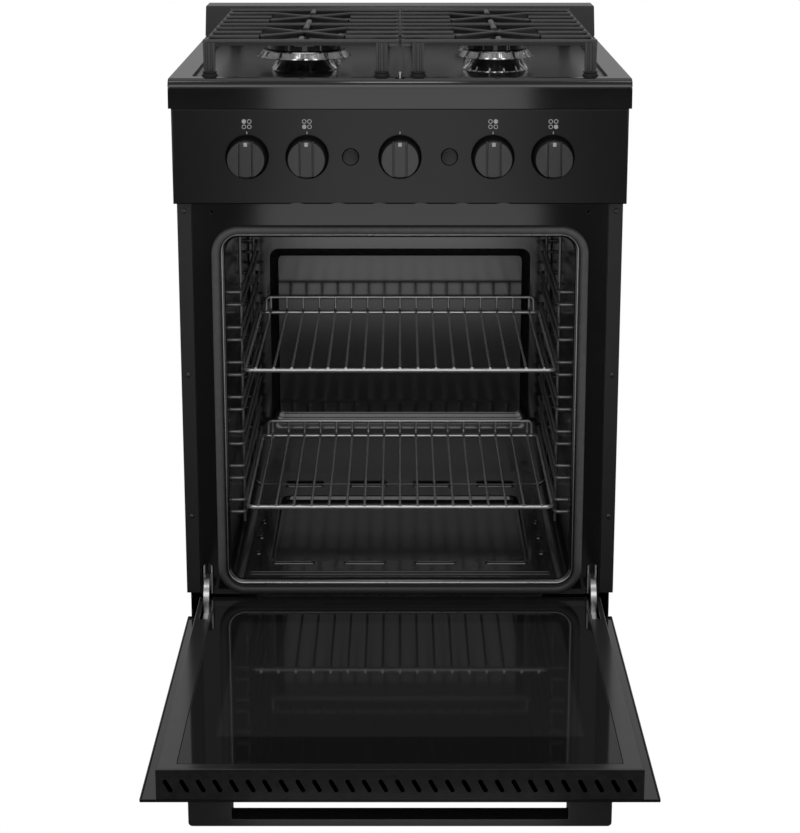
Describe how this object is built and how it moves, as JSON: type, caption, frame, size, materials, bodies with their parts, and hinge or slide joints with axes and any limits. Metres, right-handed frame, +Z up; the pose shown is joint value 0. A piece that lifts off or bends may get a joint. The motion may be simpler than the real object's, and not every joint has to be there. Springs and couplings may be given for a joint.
{
  "type": "freestanding gas range",
  "caption": "Freestanding gas range with burners under lift-off cast grates, push-to-turn knobs, and an oven with sliding wire racks and a bottom-hinged door that stands open.",
  "frame": {"origin": "on the floor, midway between the open door's far edge and the back of the range, in the middle of its width", "axes": "+Z up, -Y towards the cook, who stands at the front; +X to the cook's right"},
  "size_m": [0.606, 1.161, 0.961],
  "materials": {
    "black_steel": "smooth black, satin to glossy",
    "body_paint": "satin dark grey paint",
    "galvanised": "dull zinc-grey sheet steel",
    "black_enamel": "glossy black porcelain enamel",
    "cap_enamel": "glossy black enamel on cast caps",
    "crown_aluminium": "polished, ribbed",
    "foot_rubber": "matt black rubber",
    "chrome_wire": "bright plated wire",
    "gasket_rubber": "dark grey silicone",
    "valve_brass": "dull brass",
    "hinge_steel": "bare steel",
    "black_plastic": "satin black plastic",
    "cast_iron": "black matt enamel on cast iron",
    "door_glass": "dark glossy glass",
    "lamp_glass": "clear lamp cover"
  },
  "bodies": {
    "body": {"base_pan": "galvanised", "back_panel": "galvanised", "switch_bracket": "galvanised", "burner_support_front": "galvanised", "burner_support_rear": "galvanised", "hinge_housing_left": "galvanised", "hinge_housing_right": "galvanised", "burner_tray": "galvanised", "oven_burner": "galvanised", "side_panel_left": "body_paint", "side_panel_right": "body_paint", "kick_panel": "black_steel", "front_frame": "black_steel", "control_fascia": "black_steel", "backguard": "black_steel", "oven_liner": "black_enamel", "oven_floor": "black_enamel", "cooktop": "black_enamel", "burner_cap_front_left": "cap_enamel", "burner_cap_rear_left": "cap_enamel", "burner_cap_rear_right": "cap_enamel", "burner_cap_front_right": "cap_enamel", "burner_crown_front_left": "crown_aluminium", "burner_crown_rear_left": "crown_aluminium", "burner_crown_rear_right": "crown_aluminium", "burner_crown_front_right": "crown_aluminium", "foot_front_left": "foot_rubber", "foot_front_right": "foot_rubber", "foot_back_left": "foot_rubber", "foot_back_right": "foot_rubber", "ladder_left": "chrome_wire", "ladder_right": "chrome_wire", "door_gasket": "gasket_rubber", "gas_manifold": "valve_brass", "oven_thermostat": "valve_brass", "oven_lamp": "lamp_glass"},
    "door": {"door_skin": "black_steel", "door_liner": "black_steel", "door_inner_glass": "door_glass", "door_outer_glass": "door_glass", "door_vent_strip": "black_steel", "door_handle": "black_steel", "hinge_arm_left": "hinge_steel", "hinge_arm_right": "hinge_steel"},
    "rack_upper": {"rack_upper": "chrome_wire"},
    "rack_lower": {"rack_lower": "chrome_wire"},
    "stem_rear_left": {"stem_rear_left": "hinge_steel"},
    "knob_rear_left": {"knob_rear_left": "black_plastic"},
    "stem_front_left": {"stem_front_left": "hinge_steel"},
    "knob_front_left": {"knob_front_left": "black_plastic"},
    "stem_oven": {"stem_oven": "hinge_steel"},
    "knob_oven": {"knob_oven": "black_plastic"},
    "stem_rear_right": {"stem_rear_right": "hinge_steel"},
    "knob_rear_right": {"knob_rear_right": "black_plastic"},
    "stem_front_right": {"stem_front_right": "hinge_steel"},
    "knob_front_right": {"knob_front_right": "black_plastic"},
    "button_left": {"button_left": "black_plastic"},
    "button_right": {"button_right": "black_plastic"},
    "grate_left": {"grate_left": "cast_iron"},
    "grate_right": {"grate_right": "cast_iron"}
  },
  "joints": [
    {"name": "door_hinge", "type": "hinge", "parent": "body", "child": "door", "pos_m": [0, -0.0205, 0.183], "axis": [-1, 0, 0], "range_deg": [0, 90]},
    {"name": "rack_upper_slide", "type": "slide", "parent": "body", "child": "rack_upper", "axis": [0, 1, 0], "range_m": [-0.25, 0]},
    {"name": "rack_lower_slide", "type": "slide", "parent": "body", "child": "rack_lower", "axis": [0, 1, 0], "range_m": [-0.25, 0]},
    {"name": "knob_rear_left_push", "type": "slide", "parent": "body", "child": "stem_rear_left", "axis": [0, 1, 0], "range_m": [0, 0.003], "stiffness_N_per_m": 1000},
    {"name": "knob_rear_left_turn", "type": "hinge", "parent": "stem_rear_left", "child": "knob_rear_left", "pos_m": [-0.201, -0.0755, 0.811], "axis": [0, -1, 0], "range_deg": [0, 225]},
    {"name": "knob_front_left_push", "type": "slide", "parent": "body", "child": "stem_front_left", "axis": [0, 1, 0], "range_m": [0, 0.003], "stiffness_N_per_m": 1000},
    {"name": "knob_front_left_turn", "type": "hinge", "parent": "stem_front_left", "child": "knob_front_left", "pos_m": [-0.122, -0.0755, 0.811], "axis": [0, -1, 0], "range_deg": [0, 225]},
    {"name": "knob_oven_push", "type": "slide", "parent": "body", "child": "stem_oven", "axis": [0, 1, 0], "range_m": [0, 0.003], "stiffness_N_per_m": 1000},
    {"name": "knob_oven_turn", "type": "hinge", "parent": "stem_oven", "child": "knob_oven", "pos_m": [0, -0.0755, 0.811], "axis": [0, -1, 0], "range_deg": [0, 270]},
    {"name": "knob_rear_right_push", "type": "slide", "parent": "body", "child": "stem_rear_right", "axis": [0, 1, 0], "range_m": [0, 0.003], "stiffness_N_per_m": 1000},
    {"name": "knob_rear_right_turn", "type": "hinge", "parent": "stem_rear_right", "child": "knob_rear_right", "pos_m": [0.122, -0.0755, 0.811], "axis": [0, -1, 0], "range_deg": [0, 225]},
    {"name": "knob_front_right_push", "type": "slide", "parent": "body", "child": "stem_front_right", "axis": [0, 1, 0], "range_m": [0, 0.003], "stiffness_N_per_m": 1000},
    {"name": "knob_front_right_turn", "type": "hinge", "parent": "stem_front_right", "child": "knob_front_right", "pos_m": [0.201, -0.0755, 0.811], "axis": [0, -1, 0], "range_deg": [0, 225]},
    {"name": "button_left_push", "type": "slide", "parent": "body", "child": "button_left", "axis": [0, 1, 0], "range_m": [0, 0.002], "stiffness_N_per_m": 800},
    {"name": "button_right_push", "type": "slide", "parent": "body", "child": "button_right", "axis": [0, 1, 0], "range_m": [0, 0.002], "stiffness_N_per_m": 800},
    {"name": "grate_left_lift", "type": "slide", "parent": "body", "child": "grate_left", "axis": [0, 0, 1], "range_m": [0, 0.15]},
    {"name": "grate_right_lift", "type": "slide", "parent": "body", "child": "grate_right", "axis": [0, 0, 1], "range_m": [0, 0.15]}
  ]
}
